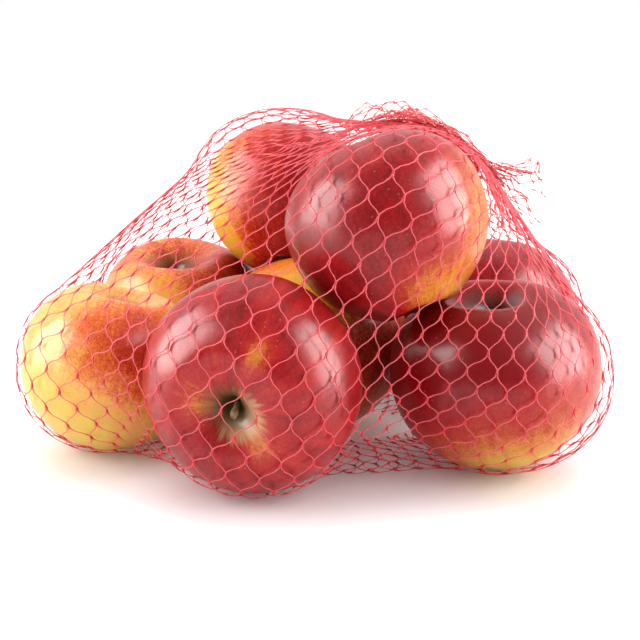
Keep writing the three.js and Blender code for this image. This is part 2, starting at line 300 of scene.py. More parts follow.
def markSkin(mesh, own, apple):
    # what the skin's patterns follow: the apple's own place, its meridians, its blush and its hollows
    reach = np.hypot(own[:, 0], own[:, 1])
    safe = np.maximum(reach, 1e-6)
    size = np.linalg.norm(own, axis=1)
    down = np.arccos(np.clip(own[:, 2] / size, -1, 1)) / math.pi
    meridian = np.stack([own[:, 0] / safe, own[:, 1] / safe, down * skinMarks["down"]], 1)
    meridian[reach < skinMarks["pole"], :2] = 0
    co = np.array([vert.co[:] for vert in mesh.vertices]) / mm - np.array(apple["at"])
    co /= np.linalg.norm(co, axis=1, keepdims=True)
    blush = np.full(len(co), float(apple["base"]))
    for azimuth, elevation, spread, amount in apple["patches"]:
        a, e = math.radians(azimuth), math.radians(elevation)
        way = np.array([math.sin(a) * math.cos(e), -math.cos(a) * math.cos(e), math.sin(e)])
        away = np.degrees(np.arccos(np.clip(co @ way, -1, 1)))
        blush += amount * np.exp(-(away / spread) ** 2)
    # how far round the stem the hollow's brown and its painted shade reach
    hollow = spotRound(own, apple["aside"], apple["hollowBrownShadeReach"], 1)
    russet = spotRound(own, apple.get("russetAside", apple["aside"]), skinMarks["russet"], 1)
    bottom = spotRound(own, (0, 0), skinMarks["flower"], -1)
    for label, kind, values in (("ownPlace", "FLOAT_VECTOR", own / skinMarks["unit"]),
                                ("meridian", "FLOAT_VECTOR", meridian), ("blush", "FLOAT", blush),
                                ("stemHollow", "FLOAT", hollow), ("russetRing", "FLOAT", russet),
                                ("flowerHollow", "FLOAT", bottom)):
        layer = mesh.attributes.new(label, kind, "POINT")
        layer.data.foreach_set("vector" if kind == "FLOAT_VECTOR" else "value",
                               np.ascontiguousarray(values, np.float32).ravel())


skinLook = {
    # scale, detail and roughness of each noise, and how wide its spots are
    "noises": {
        "streak": (11, 5, 0.62),  # 3 mm, down the meridians
        "band": (3.0, 3, 0.5),  # 12 mm, down the meridians
        "mottle": (4.5, 5, 0.6),  # 8 mm
        "fleck": (52, 3, 0.7),  # 0.7 mm
        "grit": (27, 3, 0.6),  # 1.4 mm
        "frost": (95, 2, 0.6),  # 0.4 mm, pale grains where the wax is thick
    },
    "bandShare": 0.8,  # of the apple's own streaks
    "gritShare": 0.20,
    "fleckShare": 0.36,
    "redness": (0.04, 0.3, 0.52, 0.74, 1.0),  # where each of the five colours stands
    # what lies over them: from where to where its mask rises, then how much it covers and its colour
    "frost": ((0.50, 0.74), "#cc4636"),
    "pores": ((0.08, 0.0), 0.16, "#e8b88a"),  # pale dots, drawn up to 0.5 mm wide so that they show
    "russet": ((0.92, 1.24), "#c99a68"),  # tan corky skin round the stem
    "deep": ((0.42, 0.93), 0.95),  # deep in the hollow the skin is brown and dull, and darkened further as painted shade in the recess
    "flower": ((0.35, 0.9), 0.6, "#7a6a2c"),
    "poreScale": 12.5,  # 3 mm apart
    "poreUneven": -0.12,
    "ragged": 1.1,  # how ragged the russet's edge is
    "rubbed": (0.34, 0.54),  # roughness where the wax is full and where it is rubbed
    "grain": (0.10, 0.0006),
    "dimple": (0.01, 0.001),
    "wax": {"IOR": 1.42, "Specular IOR Level": 0.12, "Coat Weight": 0.56, "Coat Roughness": 0.22,
            "Coat IOR": 1.45, "Subsurface Weight": 0.05, "Subsurface Radius": (0.9, 0.35, 0.2),
            "Subsurface Scale": 0.004},
}


def coverWith(tree, under, source, rise, most, colour):
    # lay a colour over the skin where the source rises, and no more than this share of it
    mask = addNode(tree, "ShaderNodeMapRange", {"From Min": rise[0], "From Max": rise[1], "To Max": most},
                   {"Value": source})
    return addNode(tree, "ShaderNodeMix", {"data_type": "RGBA", 7: paint(colour)},
                   {0: mask.outputs[0], 6: under}).outputs[2]


def appleSkin(name, apple):
    # Apple skin: a waxy cuticle over pigment. The wax gives a soft clear gloss, and the red lies in
    # streaks down the meridians over a yellow ground, with pale corky pores.
    look = skinLook
    material, tree = newMaterial("waxyAppleSkin." + name)
    own, meridian = [addNode(tree, "ShaderNodeAttribute", {"attribute_name": label}).outputs["Vector"]
                     for label in ("ownPlace", "meridian")]
    total, hollow, bottom, ring = [
        addNode(tree, "ShaderNodeAttribute", {"attribute_name": label}).outputs["Fac"]
        for label in ("blush", "stemHollow", "flowerHollow", "russetRing")]
    noise = {}
    for label, (scale, detail, rough) in look["noises"].items():
        made = addNode(tree, "ShaderNodeTexNoise", {"Scale": scale, "Detail": detail, "Roughness": rough},
                       {"Vector": meridian if label in ("streak", "band") else own})
        noise[label] = made.outputs["Fac"]
    for label, share in (("streak", apple["streaks"]), ("band", apple["streaks"] * look["bandShare"]),
                         ("mottle", apple["mottle"]), ("grit", look["gritShare"]),
                         ("fleck", look["fleckShare"])):
        centred = addNode(tree, "ShaderNodeMath", {"operation": "SUBTRACT", 1: 0.5}, {0: noise[label]})
        total = addNode(tree, "ShaderNodeMath", {"operation": "MULTIPLY_ADD", 1: share * 2.0},
                        {0: centred.outputs[0], 2: total}).outputs[0]
    ramp = addNode(tree, "ShaderNodeValToRGB", None, {"Fac": total})
    addStops(ramp, [(place, paint(colour)) for place, colour in zip(look["redness"], apple["colours"])])
    rise, colour = look["frost"]
    skin = coverWith(tree, ramp.outputs["Color"], noise["frost"], rise, apple["frost"], colour)
    pores = addNode(tree, "ShaderNodeTexVoronoi", {"Scale": look["poreScale"]}, {"Vector": own})
    poreSize = addNode(tree, "ShaderNodeMath", {"operation": "MULTIPLY_ADD", 1: look["poreUneven"]},
                       {0: noise["mottle"], 2: pores.outputs["Distance"]})
    skin = coverWith(tree, skin, poreSize.outputs[0], *look["pores"])
    ragged = addNode(tree, "ShaderNodeMath", {"operation": "MULTIPLY_ADD", 1: look["ragged"]},
                     {0: noise["streak"], 2: ring})
    rise, colour = look["russet"]
    skin = coverWith(tree, skin, ragged.outputs[0], rise, apple["russet"], colour)
    # the stem hollow: brown skin, painted darker towards the stem as shade in the recess
    skin = coverWith(tree, skin, hollow, *look["deep"], apple["deep"])
    skin = coverWith(tree, skin, bottom, *look["flower"])
    wax = addNode(tree, "ShaderNodeMapRange", {"To Min": look["rubbed"][0], "To Max": look["rubbed"][1]},
                  {"Value": noise["mottle"]})
    grain = addNode(tree, "ShaderNodeBump", {"Strength": look["grain"][0], "Distance": look["grain"][1]},
                    {"Height": noise["fleck"]})
    dimple = addNode(tree, "ShaderNodeBump", {"Strength": look["dimple"][0], "Distance": look["dimple"][1]},
                     {"Height": noise["mottle"], "Normal": grain.outputs[0]})
    shader = addNode(tree, "ShaderNodeBsdfPrincipled", look["wax"],
                     {"Base Color": skin, "Roughness": wax.outputs[0], "Normal": dimple.outputs[0],
                      "Coat Normal": grain.outputs[0]})
    return wear(material, shader)


stemForm = {
    "sides": 10,
    "radius": 1.15,
    "steps": 7,
    "bend": 2.2,
    "sway": 0.3,
    "foot": 1.35,  # how much thicker it starts
    "sunk": 0.8,
    "swell": (0.80, 0.94, 0.97, 1.0, 1.08, 1.22, 0.82),
    "ridge": 0.10,
}


def appleStem(name, apple, material):
    form = stemForm
    bottom = apple["stem"] - apple["hollow"][0] - appleForm["hole"][0]
    bm = bmesh.new()
    bmesh.ops.create_circle(bm, cap_ends=True, segments=form["sides"], radius=form["radius"] * form["foot"])
    bmesh.ops.translate(bm, verts=bm.verts[:], vec=(0, 0, bottom - form["sunk"]))
    top = bm.faces[:]
    rise = apple["stalk"] / form["steps"]
    for step in range(form["steps"]):
        made = bmesh.ops.extrude_face_region(bm, geom=top)
        if step:
            bmesh.ops.delete(bm, geom=top, context="FACES_ONLY")  # no wall stays inside the stem
        top = [g for g in made["geom"] if isinstance(g, bmesh.types.BMFace)]
        verts = [g for g in made["geom"] if isinstance(g, bmesh.types.BMVert)]
        t = (step + 1) / form["steps"]
        size = form["swell"][step]
        bmesh.ops.translate(bm, verts=verts, vec=(form["bend"] * t / form["steps"] * 2,
                                                  form["sway"] * math.sin(5 * t), rise))
        centre = sum((v.co for v in verts), Vector()) / len(verts)
        bmesh.ops.scale(bm, verts=verts, vec=(size, size, 1), space=Matrix.Translation(-centre))
    for vert in bm.verts:
        ridge = form["ridge"] * math.sin(3 * math.atan2(vert.co.y, vert.co.x) + vert.co.z)
        vert.co.x += ridge
        vert.co.y -= ridge * 0.7
    bmesh.ops.recalc_face_normals(bm, faces=bm.faces[:])
    bmesh.ops.translate(bm, verts=bm.verts[:], vec=apple["aside"] + (0,))
    placeInPack(bm, apple)
    addPiece("stem." + name, meshOf(bm), material)


calyxForm = {"sides": 20, "points": 5, "reach": 5.2, "notch": 1.5, "curl": 2.4, "thick": 0.45, "sunk": 0.3}


def appleCalyx(name, apple, material):
    # the dried flower: five curled points in the lower hollow
    form = calyxForm
    bm = bmesh.new()
    bmesh.ops.create_circle(bm, cap_ends=True, segments=form["sides"], radius=form["notch"])
    for vert in bm.verts:
        turn = math.atan2(vert.co.y, vert.co.x)
        point = max(0, math.cos(form["points"] * turn)) ** 1.5
        reach = form["notch"] + (form["reach"] - form["notch"]) * point
        vert.co = Vector((reach * math.cos(turn), reach * math.sin(turn), -form["curl"] * point * point))
    made = bmesh.ops.extrude_face_region(bm, geom=bm.faces[:])
    bmesh.ops.translate(bm, verts=[g for g in made["geom"] if isinstance(g, bmesh.types.BMVert)],
                        vec=(0, 0, -form["thick"]))
    depth = -apple["flower"] + appleForm["flowerDip"][0] - form["sunk"]
    bmesh.ops.translate(bm, verts=bm.verts[:], vec=(0, 0, depth))
    bmesh.ops.recalc_face_normals(bm, faces=bm.faces[:])
    placeInPack(bm, apple)
    addPiece("calyx." + name, meshOf(bm), material)


def driedStalk():
    # Dried apple stalk: woody fibres 0.7 mm apart, matt and dark, paler in patches where rubbed
    material, tree = newMaterial("driedWoodyStalk")
    where = addNode(tree, "ShaderNodeTexCoord").outputs["Object"]
    stretch = addNode(tree, "ShaderNodeMapping", {"Scale": (1, 1, 0.25)}, {"Vector": where})
    fibre = addNode(tree, "ShaderNodeTexNoise", {"Scale": 1500, "Detail": 4}, {"Vector": stretch.outputs[0]})
    patch = addNode(tree, "ShaderNodeTexNoise", {"Scale": 260, "Detail": 2}, {"Vector": where})
    both = addNode(tree, "ShaderNodeMath", {"operation": "MULTIPLY_ADD", 1: 0.5},
                   {0: fibre.outputs["Fac"], 2: patch.outputs["Fac"]})
    ramp = addNode(tree, "ShaderNodeValToRGB", None, {"Fac": both.outputs[0]})
    addStops(ramp, [(0.45, paint("#33230f")), (0.72, paint("#6b4c28")), (0.95, paint("#a8875a"))])
    bump = addNode(tree, "ShaderNodeBump", {"Strength": 0.5, "Distance": 0.0003},
                   {"Height": fibre.outputs["Fac"]})
    shader = addNode(tree, "ShaderNodeBsdfPrincipled", {"Roughness": 0.78, "IOR": 1.5},
                     {"Base Color": ramp.outputs["Color"], "Normal": bump.outputs[0]})
    return wear(material, shader)


stalk = driedStalk()
for appleName, apple in apples.items():
    appleBody(appleName, apple)
    appleStem(appleName, apple, stalk)
    appleCalyx(appleName, apple, stalk)
print("apples made:", len(apples))


# the net's surface: a grid pulled in round the apples and settled, as in the solid
net = {
    "cellsRound": 68,
    "rows": 34,
    "rowHeight": 8.2,
    "mostBunched": 1.7,  # rows over what a column needs gather at the tie, up to this share
    "balloon": (128, 120, 75, 62, 121),  # half length, width and height it starts from, its middle and ridge
    "slideEvery": 5,
    "standOff": {"upperLeft": 6.0, "farRight": 2.2},
    "usualStandOff": 1.15,
    "loose": {"left": (1.5, (-1, 0, -0.6)), "right": (4.0, (1, 0.1, -0.35))},
    "steps": 700,
    "carryOn": 0.9,  # share of a step's movement that goes on, so that slack parts settle
    "pullRound": 0.25,
    "pullUp": 0.12,
    "springOut": 0.003,
    "footSpread": 3.0,
    "footReach": 14.0,
    "slackLeft": 8.0,
    "slackFrom": -39.6,
    "slackFade": 12.0,
    "floorGap": 0.45,
    "foot": (0.4, -2.1),
    "footSize": (84.0, 58.0),
    "footTurn": 0.15,
    "ridge": [(6.2, -9.1, 120), (21.2, -14.1, 124), (36.2, -16.1, 125), (51.2, -12.1, 119),
              (63.2, -7.1, 111)],
    "ridgeHalf": 4.0,
    "ridgeCrowd": 0.42,
}
around = 2 * net["cellsRound"]
layers = net["rows"] + 1


def ridgeAt(s):
    # a smooth line through the ridge's points, and its direction
    points = np.array(net["ridge"], float)
    ends = np.vstack([2 * points[0] - points[1], points, 2 * points[-1] - points[-2]])
    s = np.clip(np.asarray(s, float), 0, 1) * (len(points) - 1)
    k = np.minimum(s.astype(int), len(points) - 2)
    f = (s - k)[..., None]
    p0, p1, p2, p3 = ends[k], ends[k + 1], ends[k + 2], ends[k + 3]
    at = 0.5 * (2 * p1 + (p2 - p0) * f + (2 * p0 - 5 * p1 + 4 * p2 - p3) * f ** 2
                + (3 * p1 - p0 - 3 * p2 + p3) * f ** 3)
    along = 0.5 * ((p2 - p0) + 2 * (2 * p0 - 5 * p1 + 4 * p2 - p3) * f
                   + 3 * (3 * p1 - p0 - 3 * p2 + p3) * f ** 2)
    return at, along / np.linalg.norm(along, axis=-1, keepdims=True)


def ridgeShare(column):
    # where on the ridge this column of the grid runs in, 0 at the pinch and 1 at the tie
    return (0.5 * (1 + np.cos(2 * math.pi * column / around))) ** net["ridgeCrowd"]


def restOnApples(grid):
    for name, apple in apples.items():
        gap = net["standOff"].get(name, net["usualStandOff"])
        loose, side = net["loose"].get(name, (0, (0, 0, 1)))
        up = np.array(apple["up"]) / np.linalg.norm(apple["up"])
        side = np.array(side) / np.linalg.norm(side)
        away = grid - np.array(apple["at"])
        far = np.sqrt((away ** 2).sum(-1)) + 1e-9
        near = far < apple["girth"] + gap + loose + 4
        away, far = away[near], far[near]
        skin = skinRadius((away @ up) / far, apple["girth"], apple["stem"], apple["flower"]) + gap
        skin = skin + loose * np.clip((away @ side) / far, 0, 1) ** 2
        grid[near] = np.array(apple["at"]) + away * np.maximum(1, skin / far)[:, None]
    grid[..., 2] = np.maximum(grid[..., 2], net["floorGap"])
    return grid


def outward(grid):
    # the way out of the bag at each grid point
    sideways = np.roll(grid, -1, 1) - np.roll(grid, 1, 1)
    upward = np.zeros_like(grid)
    upward[1:-1] = grid[2:] - grid[:-2]
    upward[0] = grid[1] - grid[0]
    upward[-1] = grid[-1] - grid[-2]
    way = np.cross(sideways, upward)
    return way / (np.linalg.norm(way, axis=-1, keepdims=True) + 1e-9)


def runUp(grid):
    # how far up its column each point is, along the net
    steps = np.linalg.norm(np.diff(grid, axis=0), axis=-1)
    return np.concatenate([np.zeros((1, around)), np.cumsum(steps, 0)])


def spaceRows(grid):
    # slide each column's points towards their share of its length; what is over gathers at the tie
    run = runUp(grid)
    share = np.linspace(0, 1, layers)
    out = grid.copy()
    for i in range(around):
        whole = run[-1, i]
        bunch = min(net["mostBunched"], max(1.0, net["rowHeight"] * net["rows"] / whole))
        want = (run[:, i] + whole * (1 - (1 - share) ** bunch)) / 2
        for a in range(3):
            out[:, i, a] = np.interp(want, run[:, i], grid[:, i, a])
    return out


def drapeNet():
    columns = np.arange(around)
    turn = 2 * math.pi * columns / around
    c, s = np.cos(turn), np.sin(turn)
    foot = turn + net["footTurn"]
    rim = np.stack([net["foot"][0] + net["footSize"][0] * np.cos(foot),
                    net["foot"][1] + net["footSize"][1] * np.sin(foot), np.full(around, net["floorGap"])], -1)
    at, along = ridgeAt(ridgeShare(columns))
    across = np.cross([0, 0, 1.0], along)
    across /= np.linalg.norm(across, axis=-1, keepdims=True)
    mouth = at + net["ridgeHalf"] * s[:, None] * across
    u = np.linspace(0, 1, layers)[:, None]
    lift = (u - 0.5) * math.pi
    top = np.clip((u - 0.4) / 0.6, 0, 1)
    toMouth, toRim = top * top * (3 - 2 * top), (1 - u) ** 2
    halfLong, halfWide, halfHigh, middle, ridge = net["balloon"]
    grid = np.stack([halfLong * np.cos(lift) * c + toMouth * mouth[:, 0] + toRim * rim[:, 0],
                     halfWide * np.cos(lift) * s + toMouth * mouth[:, 1] + toRim * rim[:, 1],
                     middle + halfHigh * np.sin(lift) + toMouth * (mouth[:, 2] - ridge)], -1)
    before = grid.copy()
    for step in range(net["steps"]):
        roundPull = (np.roll(grid, 1, 1) + np.roll(grid, -1, 1)) / 2 - grid
        upPull = np.zeros_like(grid)
        upPull[1:-1] = (grid[2:] + grid[:-2]) / 2 - grid[1:-1]
        low = net["footSpread"] * np.exp(-grid[..., 2:3] / net["footReach"])
        slack = net["slackLeft"] / (1 + np.exp((grid[..., 0:1] - net["slackFrom"]) / net["slackFade"]))
        moved = grid + net["carryOn"] * (grid - before)
        moved += net["pullRound"] * roundPull + net["pullUp"] * upPull
        moved += net["springOut"] * (1 + low + slack) * outward(grid)
        before, grid = grid, moved
        if step % net["slideEvery"] == net["slideEvery"] - 1:
            slid = spaceRows(grid)
            before = before + (slid - grid)
            grid = slid
        grid[0], grid[-1] = rim, mouth
        grid = restOnApples(grid)
    return grid


netGrid = drapeNet()
print("net draped, reaching", netGrid.reshape(-1, 3).min(0).round(1), netGrid.reshape(-1, 3).max(0).round(1))


# the knots: laid on that surface so that all strands between them are as long
lay = {
    "cells": 64,
    "strandLength": 8.7,
    "startPitch": 7.4,
    "underRows": 5,
    "twist": 13.0,  # cells by which the net is drawn round towards the tie
    "twistFrom": 45.0,  # mm up the net where that starts
    "twistOver": 190,  # mm over which it grows to the whole
    "twistMost": 5.2,  # where round the net it is most, in radians: at the front right
    "steps": 700,
    "most": (0.5, 0.4),  # how far a knot moves in one step, in columns and rows
    "stretch": 0.35,  # how hard a strand that is too long pulls, and one too short pushes
    "squeeze": 0.20,
    "smooth": 0.03,
    "jitter": 0.22,
}


def netSurface():
    # the grid, and below it the rows that run in under the pack to a seam
    centre = np.array([net["foot"][0], net["foot"][1], net["floorGap"]])
    under = []
    for k in range(lay["underRows"], 0, -1):
        share = 1 - k / (lay["underRows"] + 0.5)
        under.append(centre + (netGrid[0] - centre) * np.array([0.5 + 0.5 * share, share, 1]))
    return np.concatenate([np.array(under), netGrid])


surface = netSurface()


def surfaceAt(column, row):
    # the point there, and which way the columns and rows run
    column = np.mod(column, around)
    row = np.clip(row, 0, len(surface) - 1.0001)
    i, j = np.floor(column).astype(int) % around, np.floor(row).astype(int)
    f, g = (column - np.floor(column))[..., None], (row - j)[..., None]
    k = (i + 1) % around
    a, b, c, d = surface[j, i], surface[j, k], surface[j + 1, i], surface[j + 1, k]
    return ((a * (1 - f) + b * f) * (1 - g) + (c * (1 - f) + d * f) * g,
            (b - a) * (1 - g) + (d - c) * g, (c - a) * (1 - f) + (d - b) * f)


def above(values, hand):
    # for each knot but the last row's, the value at the knot up and to the right (1) or left (-1)
    out = values[1:].copy()
    if hand > 0:
        out[1::2] = np.roll(values[1:], -1, 1)[1::2]
    else:
        out[0::2] = np.roll(values[1:], 1, 1)[0::2]
    return out


def handDown(pushes, hand):
    # the same the other way: what each strand gives to the knot at its upper end
    out = np.zeros((len(pushes) + 1,) + pushes.shape[1:])
    out[1:] = pushes
    if hand > 0:
        out[2::2] = np.roll(pushes, 1, 1)[1::2]
    else:
        out[1::2] = np.roll(pushes, -1, 1)[0::2]
    return out


def layKnots():
    cells, last = lay["cells"], len(surface) - 1
    run = runUp(surface)
    run -= run[lay["underRows"]]
    count = int(run[-1].max() / lay["startPitch"]) + lay["underRows"] + 4
    rows = np.arange(count)
    height = (rows - lay["underRows"]) * lay["startPitch"]
    height = np.clip(height / lay["twistOver"] - lay["twistFrom"] / lay["twistOver"], 0, 1)
    place = np.arange(cells)[None, :] + 0.5 * (rows[:, None] % 2)
    most = 0.5 + 0.5 * np.cos(2 * math.pi * place / cells - lay["twistMost"])
    turned = lay["twist"] * most * (3 * height ** 2 - 2 * height ** 3)[:, None]
    column = (place + turned) * around / cells
    row = np.zeros_like(column)
    for c in range(cells):
        for parity in (0, 1):
            place = (c + 0.5 * parity) * around / cells
            i, f = int(place) % around, place - int(place)
            length = run[:, i] * (1 - f) + run[:, (i + 1) % around] * f
            want = (rows[parity::2] - lay["underRows"]) * lay["startPitch"]
            past = np.maximum(0, want - length[-1])
            row[parity::2, c] = np.interp(want, length, np.arange(last + 1.0)) + past
    inRope = row >= last
    free = ~inRope & (rows[:, None] > 0)
    for step in range(lay["steps"]):
        at, wayRound, wayUp = surfaceAt(column, row)
        push = np.zeros_like(at)
        for hand in (1, -1):
            line = above(at, hand) - at[:-1]
            length = np.linalg.norm(line, axis=-1, keepdims=True) + 1e-9
            over = (length - lay["strandLength"]) / length
            pull = 0.5 * line * over * np.where(over > 0, lay["stretch"], lay["squeeze"])
            push[:-1] += pull
            push -= handDown(pull, hand)
        push += lay["smooth"] * ((np.roll(at, 1, 1) + np.roll(at, -1, 1)) / 2 - at)
        push[2:-2] += lay["smooth"] * ((at[4:] + at[:-4]) / 2 - at[2:-2])
        rr, ru, uu = (wayRound ** 2).sum(-1), (wayRound * wayUp).sum(-1), (wayUp ** 2).sum(-1)
        pr, pu = (wayRound * push).sum(-1), (wayUp * push).sum(-1)
        area = rr * uu - ru ** 2 + 1e-6 * (rr + uu) ** 2 + 1e-9
        most = lay["most"]
        column = column + np.where(free, np.clip((uu * pr - ru * pu) / area, -most[0], most[0]), 0)
        slid = np.clip(row + np.clip((rr * pu - ru * pr) / area, -most[1], most[1]), 0, last - 0.001)
        row = np.where(free, slid, row)
    at, wayRound, wayUp = surfaceAt(column, row)
    outside = np.cross(wayRound, wayUp)
    outside /= np.linalg.norm(outside, axis=-1, keepdims=True) + 1e-9
    along = np.zeros_like(at)
    for hand in (1, -1):
        line = above(at, hand) - at[:-1]
        along[:-1] += line
        along += handDown(line, hand)
    along /= np.linalg.norm(along, axis=-1, keepdims=True) + 1e-9
    across = np.cross(along, outside)
    generator = np.random.default_rng(5)
    uneven = generator.normal(0, 1, at.shape[:2])[..., None] * across
    uneven += generator.normal(0, 1, at.shape[:2])[..., None] * along
    at = at + lay["jitter"] * uneven * (~inRope)[..., None]
    return at, along, across, outside, inRope, column


knots, knotAlong, knotAcross, knotOut, inRope, knotColumn = layKnots()
print("knots laid:", knots.shape[:2])


# the strands: two sets that wind up the bag in opposite turns and are fused where they meet
strand = {
    "radius": 0.175,
    "knotRadius": 0.36,
    "beside": 0.16,  # the two strands of a knot lie side by side
    "curl": 1.3,  # how far a strand follows the bag's length before it crosses over
    "bow": 0.26,  # mm by which it stands off halfway between its knots
    "places": (0.0, 0.13, 0.36, 0.64, 0.87),
    "swell": (1.0, 0.55, 0.0, 0.0, 0.55),  # at those places, how far it is as thick as a knot
    "uneven": (0.9, 1.1),
    "hands": {1: 1.08, -1: 0.92},  # one set is a little thicker than the other
    "ropeRadius": 3.0,
    "tieRadius": 2.2,
    "ropeStep": 0.08,  # shares of the ridge
    "ropeEnd": (0.97, 1.0, 1.03),
    "ropeJoin": 0.16,
    "ropePast": (0.5, 4.0),  # mm by which a strand ends beyond the tie
    "ropeKnots": 0.15,
}
knotSpots = []


def alongRope(start, s0, lane, generator):
    # a strand's way from the mouth along the bunched ridge to the tie, where it ends
    angle, reach = lane
    points, sizes = [], []
    end, *last = strand["ropeEnd"]
    for s in list(np.arange(s0 + strand["ropeStep"], end, strand["ropeStep"])) + last:
        at, along = ridgeAt(s)
        if s > 1:
            at = at + along * generator.uniform(*strand["ropePast"])
        high = np.array([0, 0, 1.0]) - along * along[2]
        high /= np.linalg.norm(high)
        deep = np.cross(along, high)
        sway = angle + 0.5 * math.sin(5 * s + 7 * reach)
        wide = strand["ropeRadius"] + (strand["tieRadius"] - strand["ropeRadius"]) * min(1, s) ** 2
        wide *= reach * (1 + 0.25 * math.sin(9 * s + 3 * angle))
        target = at + wide * (math.cos(sway) * high + math.sin(sway) * deep)
        join = min(1.0, (s - s0) / strand["ropeJoin"])
        points.append(start + (target - start) * join)
        knotty = generator.uniform() < strand["ropeKnots"]
        sizes.append(strand["knotRadius"] * 0.9 if knotty else strand["radius"])
        if knotty:
            knotSpots.append(points[-1])
    return points, sizes


def strandLine(cell, hand, generator):
    points, sizes = [], []
    thick = strand["radius"] * generator.uniform(*strand["uneven"]) * strand["hands"][hand]
    c = cell
    for r in range(len(knots) - 1):
        d = c
        if hand > 0 and r % 2 == 1:
            d = (c + 1) % lay["cells"]
        if hand < 0 and r % 2 == 0:
            d = (c - 1) % lay["cells"]
        side = strand["beside"] * -hand
        a, b = knots[r, c] + side * knotAcross[r, c], knots[r + 1, d] + side * knotAcross[r + 1, d]
        if inRope[r + 1, d]:
            points.append(a)
            sizes.append(strand["knotRadius"])
            break
        pull = strand["curl"] * np.linalg.norm(b - a)
        for t, swell in zip(strand["places"], strand["swell"]):
            h00, h10 = 2 * t ** 3 - 3 * t ** 2 + 1, t ** 3 - 2 * t ** 2 + t
            h01, h11 = 3 * t ** 2 - 2 * t ** 3, t ** 3 - t ** 2
            bow = strand["bow"] * 4 * t * (1 - t) * (knotOut[r, c] + knotOut[r + 1, d]) / 2
            points.append(h00 * a + h10 * pull * knotAlong[r, c]
                          + h01 * b + h11 * pull * knotAlong[r + 1, d] + bow)
            sizes.append(thick + (strand["knotRadius"] - thick) * swell)
        knotSpots.append(knots[r, c])
        c = d
    s0 = float(ridgeShare(knotColumn[r + 1, d]))
    angle = generator.uniform(0, 2 * math.pi)
    lane = (angle, generator.uniform(0.05, 1) ** 0.8 * generator.choice([1, 1, 1, 1.5]))
    points.append(knots[r + 1, d])
    sizes.append(thick)
    more, moreSizes = alongRope(points[-1], s0, lane, generator)
    return points + more, sizes + moreSizes


def drawLines(name, lines):
    # round strands along the lines, as one mesh
    curve = bpy.data.curves.new(name, "CURVE")
    curve.dimensions = "3D"
    curve.bevel_depth = mm
    curve.bevel_resolution = 1
    curve.use_fill_caps = True
    for points, sizes in lines:
        line = curve.splines.new("POLY")
        line.points.add(len(points) - 1)
        line.points.foreach_set("co", np.c_[np.array(points) * mm, np.ones(len(points))].ravel())
        line.points.foreach_set("radius", np.array(sizes))
    drawn = bpy.data.objects.new(name + "Line", curve)
    scene.collection.objects.link(drawn)
    bpy.context.view_layer.update()
    drawnMesh = drawn.evaluated_get(bpy.context.evaluated_depsgraph_get())
    mesh = bpy.data.meshes.new_from_object(drawnMesh)
    bpy.data.objects.remove(drawn)
    mesh.materials.clear()
    return mesh


def strandSet(name, hand, material):
    generator = np.random.default_rng(21 + hand)
    knotSpots.clear()
    netPiece(name, [strandLine(cell, hand, generator) for cell in range(lay["cells"])], material)


def netPiece(name, lines, material):
    mesh = drawLines(name, lines)
    addPiece(name, mesh, material)
    markKnots(mesh)
    print(name, "triangles:", sum(len(face.vertices) - 2 for face in mesh.polygons))


def markKnots(mesh):
    # how close each point is to a knot, where two strands are fused and the colour is deeper
    tree = kdtree.KDTree(len(knotSpots))
    for count, spot in enumerate(knotSpots):
        tree.insert(Vector(spot) * mm, count)
    tree.balance()
    near = [math.exp(-(tree.find(vert.co)[2] / mm / 1.5) ** 2) for vert in mesh.vertices]
    layer = mesh.attributes.new("knot", "FLOAT", "POINT")
    layer.data.foreach_set("value", np.array(near, np.float32))


plastic = {
    "unevenScale": 420,  # patches 2.4 mm long
    "fineScale": 2600,  # 0.4 mm
    "tone": (0.25, 1.05),
    "opaque": (0.46, 0.96),  # at the thread and at the knot
    "glow": (0.60, 0.25),  # share of the light that comes through, at the thread and at the knot
    "rubbed": (-0.06, 0.1),
}


